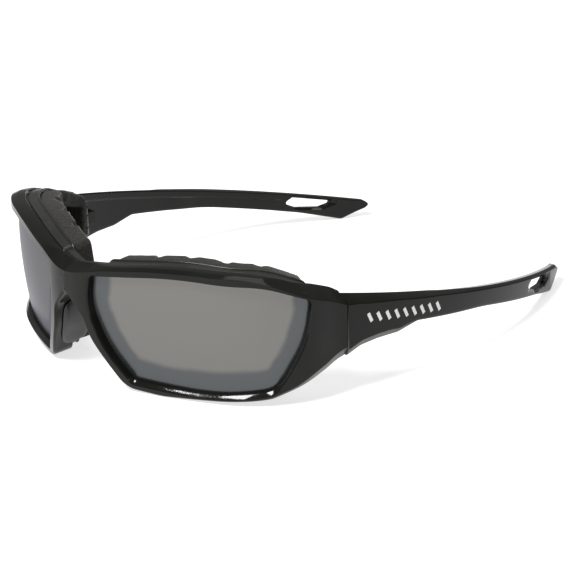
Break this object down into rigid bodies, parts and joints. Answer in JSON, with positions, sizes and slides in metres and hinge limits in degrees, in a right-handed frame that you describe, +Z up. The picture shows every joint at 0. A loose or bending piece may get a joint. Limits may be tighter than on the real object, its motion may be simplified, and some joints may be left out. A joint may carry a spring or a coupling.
{
  "type": "motorcycle goggles",
  "caption": "Foam-sealed wraparound riding glasses with mirrored grey lenses in a glossy frame and two folding temples.",
  "frame": {"origin": "on the table under the middle of the open glasses' footprint", "axes": "+Z up, -Y the front of the glasses, +Y back along the temples, +X the wearer's left"},
  "size_m": [0.1404, 0.1666, 0.0431],
  "materials": {
    "frame_plastic": "glossy injection-moulded black nylon",
    "temple_plastic": "glossy injection-moulded black nylon",
    "lens": "smoke polycarbonate with a silver mirror coating",
    "carrier_plastic": "satin black elastomer",
    "tape": "thin black bonding tape",
    "foam": "matt closed-cell foam",
    "pad_rubber": "satin black rubber",
    "hinge_steel": "dark nickel-plated steel"
  },
  "bodies": {
    "front": {"front_frame": "frame_plastic", "seal_carrier": "carrier_plastic", "left_lens": "lens", "left_foam_tape": "tape", "left_foam_seal": "foam", "left_nose_pad": "pad_rubber", "left_hinge_screw": "hinge_steel", "left_hinge_nut": "hinge_steel", "right_lens": "lens", "right_foam_tape": "tape", "right_foam_seal": "foam", "right_nose_pad": "pad_rubber", "right_hinge_screw": "hinge_steel", "right_hinge_nut": "hinge_steel"},
    "left_temple": {"left_temple": "temple_plastic"},
    "right_temple": {"right_temple": "temple_plastic"}
  },
  "joints": [
    {"name": "left_temple_fold", "type": "hinge", "parent": "front", "child": "left_temple", "pos_m": [0.06124, -0.02839, 0.02285], "axis": [0, 0, 1], "range_deg": [0, 82]},
    {"name": "right_temple_fold", "type": "hinge", "parent": "front", "child": "right_temple", "pos_m": [-0.06124, -0.02839, 0.02285], "axis": [0, 0, -1], "range_deg": [0, 74]}
  ]
}
